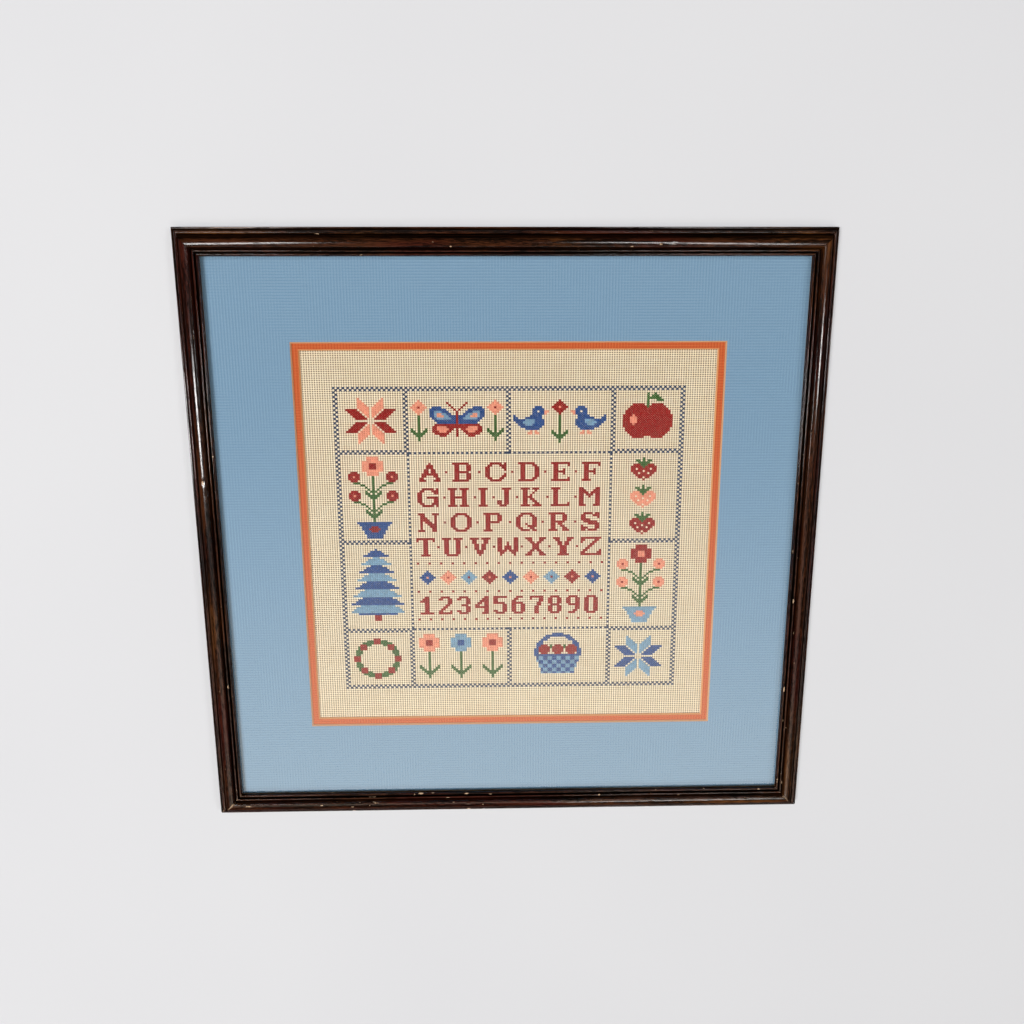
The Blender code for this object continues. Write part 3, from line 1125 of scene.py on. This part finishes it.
def make_stitches(chart, letter, surface, seed):
    """All crosses in one thread: a lower leg that rises to the right and an upper one that falls."""
    name, colour = THREADS[letter]
    rng = np.random.default_rng(seed)
    rows, columns = np.nonzero(chart == letter)
    left, top = chart_corner()
    west = left + columns * PITCH_X
    north = top - rows * PITCH_Y
    groups = []
    for lower in (True, False):
        first_y, second_y = (north - PITCH_Y, north) if lower else (north, north - PITCH_Y)
        starts = np.stack([west, first_y], axis=1) + rng.normal(0, END_STRAY, (len(rows), 2))
        ends = np.stack([west + PITCH_X, second_y], axis=1) + rng.normal(0, END_STRAY, (len(rows), 2))
        groups.append(leg_vertices(starts, ends, 0.0 if lower else UPPER_LEG_RISE, rng))
    vertices = np.concatenate(groups).reshape(-1, 3)
    vertices[:, 2] += surface
    legs = 2 * len(rows)

    thread = thread_material(name + "_thread", srgb(*colour))
    item = mesh_object("stitches_" + name, vertices, leg_faces(legs), thread)
    shape = (legs, len(LEG_ALONG), len(SECTION_ANGLES))
    set_values(item, "across", np.broadcast_to(np.linspace(0, 1, len(SECTION_ANGLES)), shape))
    set_values(item, "along", np.broadcast_to(LEG_ALONG[:, None], shape))
    shades = np.tile(rng.random(len(rows)), 2)
    set_values(item, "shade", np.broadcast_to(shades[:, None, None], shape))
    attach(item, "root")
    return item


def make_needlework():
    """The cloth and its stitches."""
    cloth = make_cloth()
    low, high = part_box("cloth")
    chart = make_chart()
    sewn = [make_stitches(chart, letter, high[2], 40 + order) for order, letter in enumerate(THREADS)]


# Room


def assign(node, material):
    """Gives a CAD node a material."""
    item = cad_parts[node]
    item.data.materials.clear()
    item.data.materials.append(material)


def dress_nodes():
    """Materials for the CAD nodes that stay as they are."""
    blue_core = srgb(200, 156, 118)
    coral_core = srgb(208, 146, 98)
    assign("glass", glass_material())
    assign("outer_mat", mat_material("blue_linen_mat", srgb(108, 137, 163), srgb(126, 154, 177), blue_core))
    assign("inner_mat", mat_material("coral_linen_mat", srgb(172, 74, 36), srgb(198, 100, 56), coral_core))
    assign("backing_board", board_material())


def make_floor():
    """A large pale floor that the picture lies on."""
    far = FLOOR_REACH
    corners = [(-far, -far, 0), (far, -far, 0), (far, far, 0), (-far, far, 0)]
    floor = mesh_object("floor", corners, [(0, 1, 2, 3)], floor_material(), smooth=False)


def make_light(name, place, size, power, mirrored):
    """A soft rectangular light that faces the picture."""
    data = bpy.data.lights.new(name, "AREA")
    data.shape = "RECTANGLE"
    data.size, data.size_y = size
    data.energy = power
    light = bpy.data.objects.new(name, data)
    light.location = place
    light.rotation_euler = mathutils.Vector(place).to_track_quat("Z", "Y").to_euler()
    light.visible_glossy = mirrored
    bpy.context.scene.collection.objects.link(light)


def make_room():
    """The soft lights, and a room that is pale near the floor, dim overhead and bright past the foot."""
    world = bpy.data.worlds.new("studio")
    world.use_nodes = True
    tree = world.node_tree
    tree.nodes.clear()
    direction = add(tree, "TexCoord").outputs["Generated"]
    x, y, z = add(tree, "SeparateXYZ", {0: direction}).outputs[:3]
    horizon = between(tree, z, 0.12, 0.30, 0.50, 0.05)
    glow = maths(tree, "MULTIPLY", between(tree, y, 0.0, -0.62), between(tree, y, -0.64, -0.53))
    glow = maths(tree, "MULTIPLY", glow, between(tree, maths(tree, "ABSOLUTE", x), 0.60, 0.36))
    tint = mixed(tree, glow, (0.96, 0.98, 1.0, 1), (1.0, 0.88, 0.68, 1))
    strength = maths(tree, "ADD", horizon, maths(tree, "MULTIPLY", glow, 1.9))
    sky = add(tree, "Background", {"Color": tint, "Strength": strength})
    output = tree.nodes.new("ShaderNodeOutputWorld")
    tree.links.new(sky.outputs[0], output.inputs["Surface"])
    bpy.context.scene.world = world

    for light in LIGHTS:
        make_light(*light)


def make_camera():
    """The camera at the photograph's place."""
    data = bpy.data.cameras.new("camera")
    data.sensor_width = SENSOR_WIDTH
    data.lens = CAMERA_LENS
    data.clip_start = 0.01
    camera = bpy.data.objects.new("camera", data)
    right = mathutils.Vector(CAMERA_RIGHT)
    up = mathutils.Vector(CAMERA_UP)
    back = right.cross(up)
    axes = mathutils.Matrix((right, up, back)).transposed().to_4x4()
    camera.matrix_world = mathutils.Matrix.Translation(CAMERA_PLACE) @ axes
    bpy.context.scene.collection.objects.link(camera)
    bpy.context.scene.camera = camera


def main():
    """Dresses the picture, lights it, places the camera and sets the view transform."""
    make_rails()
    make_needlework()
    dress_nodes()
    make_floor()
    make_room()
    make_camera()
    bpy.context.scene.view_settings.view_transform = "Standard"


main()
